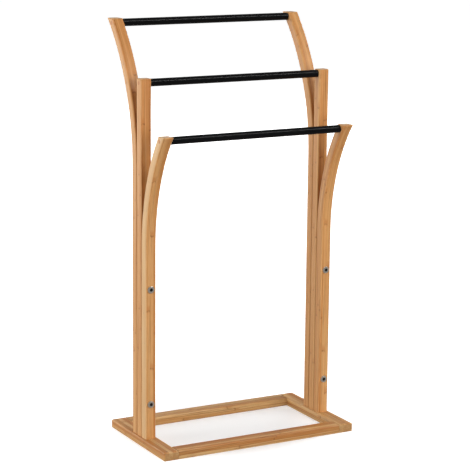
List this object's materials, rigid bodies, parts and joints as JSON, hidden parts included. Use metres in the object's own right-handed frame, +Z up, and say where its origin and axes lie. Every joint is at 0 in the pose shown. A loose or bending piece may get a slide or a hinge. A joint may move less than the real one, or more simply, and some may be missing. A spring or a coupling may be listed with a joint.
{
  "type": "towel rack",
  "caption": "Free-standing bamboo towel rack: a rectangular base frame, bolted stacks of straight and outward-bent posts at each end, and stepped black steel rails.",
  "frame": {"origin": "bottom centre of the whole rack's bounding box, on the floor; the base frame's own centre is 10.6 mm in front of it, because the rear posts lean back past the base", "axes": "+Z up, +X to the rack's right seen from the front, -Y towards the front, where the low rail is; the rails run along X"},
  "size_m": [0.42, 0.2612, 0.82],
  "materials": {
    "bamboo": "satin clear lacquer on laminated bamboo",
    "bamboo_plug": "satin clear lacquer, end grain",
    "dowel_wood": "raw turned wood",
    "black_steel": "semi-gloss black powder coat",
    "nickel_steel": "bright nickel plating",
    "zinc_steel": "zinc plating"
  },
  "bodies": {
    "root": {"base_front_board": "bamboo", "base_left_board": "bamboo", "base_rear_board": "bamboo", "base_right_board": "bamboo", "front_left_dowels": "dowel_wood", "front_rail": "black_steel", "front_rail_inserts": "zinc_steel", "front_right_dowels": "dowel_wood", "left_base_screws": "zinc_steel", "left_front_post": "bamboo", "left_hole_plugs": "bamboo_plug", "left_middle_post": "bamboo", "left_post_bolts": "nickel_steel", "left_rail_screws": "zinc_steel", "left_rear_post": "bamboo", "left_sleeve_nuts": "nickel_steel", "middle_rail": "black_steel", "middle_rail_inserts": "zinc_steel", "rear_left_dowels": "dowel_wood", "rear_rail": "black_steel", "rear_rail_inserts": "zinc_steel", "rear_right_dowels": "dowel_wood", "right_base_screws": "zinc_steel", "right_front_post": "bamboo", "right_hole_plugs": "bamboo_plug", "right_middle_post": "bamboo", "right_post_bolts": "nickel_steel", "right_rail_screws": "zinc_steel", "right_rear_post": "bamboo", "right_sleeve_nuts": "nickel_steel"}
  },
  "joints": []
}
